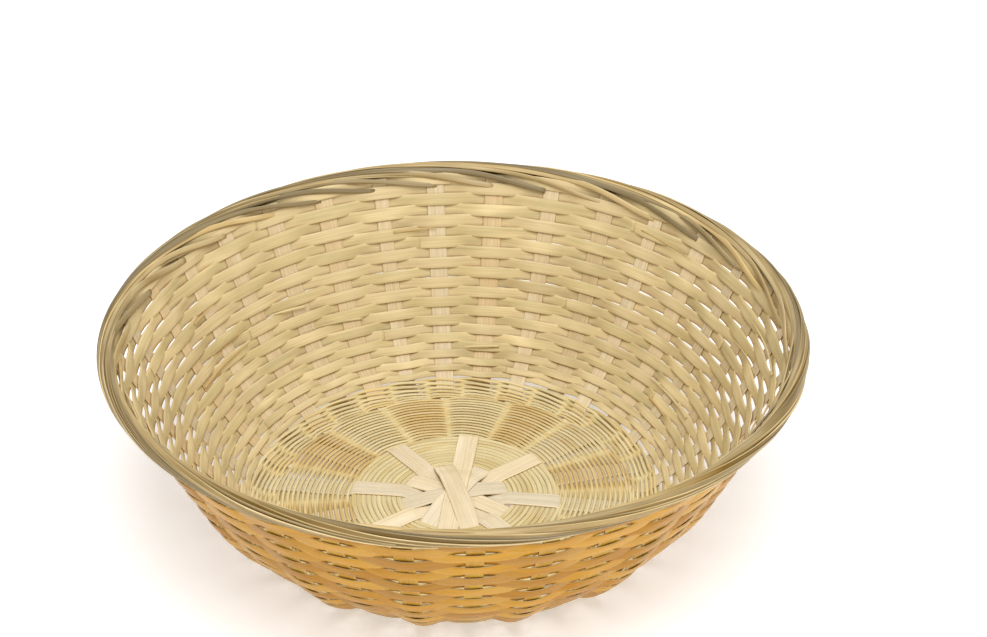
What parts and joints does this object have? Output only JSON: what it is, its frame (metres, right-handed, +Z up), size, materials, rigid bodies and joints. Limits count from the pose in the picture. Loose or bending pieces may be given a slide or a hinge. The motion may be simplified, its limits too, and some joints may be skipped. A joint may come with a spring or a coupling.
{
  "type": "woven bamboo bowl basket",
  "caption": "Round open bowl basket of flat split bamboo, with a star-woven base, a plain-woven flaring wall and a rolled border, for bread or fruit.",
  "frame": {"origin": "centre of the base on the surface that the basket stands on", "axes": "+Z up through the open mouth; +Y and +X run along two of the long splint arms of the base"},
  "size_m": [0.3046, 0.3046, 0.094],
  "materials": {
    "split_bamboo": "satin split bamboo, pale",
    "base_strand": "satin split bamboo, straw",
    "wall_strip": "glossy bamboo skin outside, pale inside",
    "border_strand": "satin split bamboo, golden"
  },
  "bodies": {
    "root": {"base_splint_01": "split_bamboo", "base_splint_02": "split_bamboo", "base_splint_03": "split_bamboo", "base_splint_04": "split_bamboo", "base_splint_05": "split_bamboo", "base_splint_06": "split_bamboo", "base_splint_07": "split_bamboo", "base_splint_08": "split_bamboo", "side_stake_01": "split_bamboo", "side_stake_02": "split_bamboo", "side_stake_03": "split_bamboo", "side_stake_04": "split_bamboo", "side_stake_05": "split_bamboo", "side_stake_06": "split_bamboo", "side_stake_07": "split_bamboo", "side_stake_08": "split_bamboo", "side_stake_09": "split_bamboo", "side_stake_10": "split_bamboo", "side_stake_11": "split_bamboo", "side_stake_12": "split_bamboo", "side_stake_13": "split_bamboo", "side_stake_14": "split_bamboo", "side_stake_15": "split_bamboo", "side_stake_16": "split_bamboo", "base_inner_weaver": "base_strand", "base_twine_a": "base_strand", "base_twine_b": "base_strand", "heel_twine_a": "base_strand", "heel_twine_b": "base_strand", "wall_weaver_01": "wall_strip", "wall_weaver_02": "wall_strip", "wall_weaver_03": "wall_strip", "wall_weaver_04": "wall_strip", "wall_weaver_05": "wall_strip", "wall_weaver_06": "wall_strip", "wall_weaver_07": "wall_strip", "wall_weaver_08": "wall_strip", "wall_weaver_09": "wall_strip", "wall_weaver_10": "wall_strip", "wall_weaver_11": "wall_strip", "wall_weaver_12": "wall_strip", "wall_weaver_13": "wall_strip", "wall_weaver_14": "wall_strip", "wall_weaver_15": "wall_strip", "wall_weaver_16": "wall_strip", "wall_weaver_17": "wall_strip", "wall_weaver_18": "wall_strip", "wall_weaver_19": "wall_strip", "wall_weaver_20": "wall_strip", "wall_weaver_21": "wall_strip", "border_core": "border_strand", "border_strands": "border_strand"}
  },
  "joints": []
}
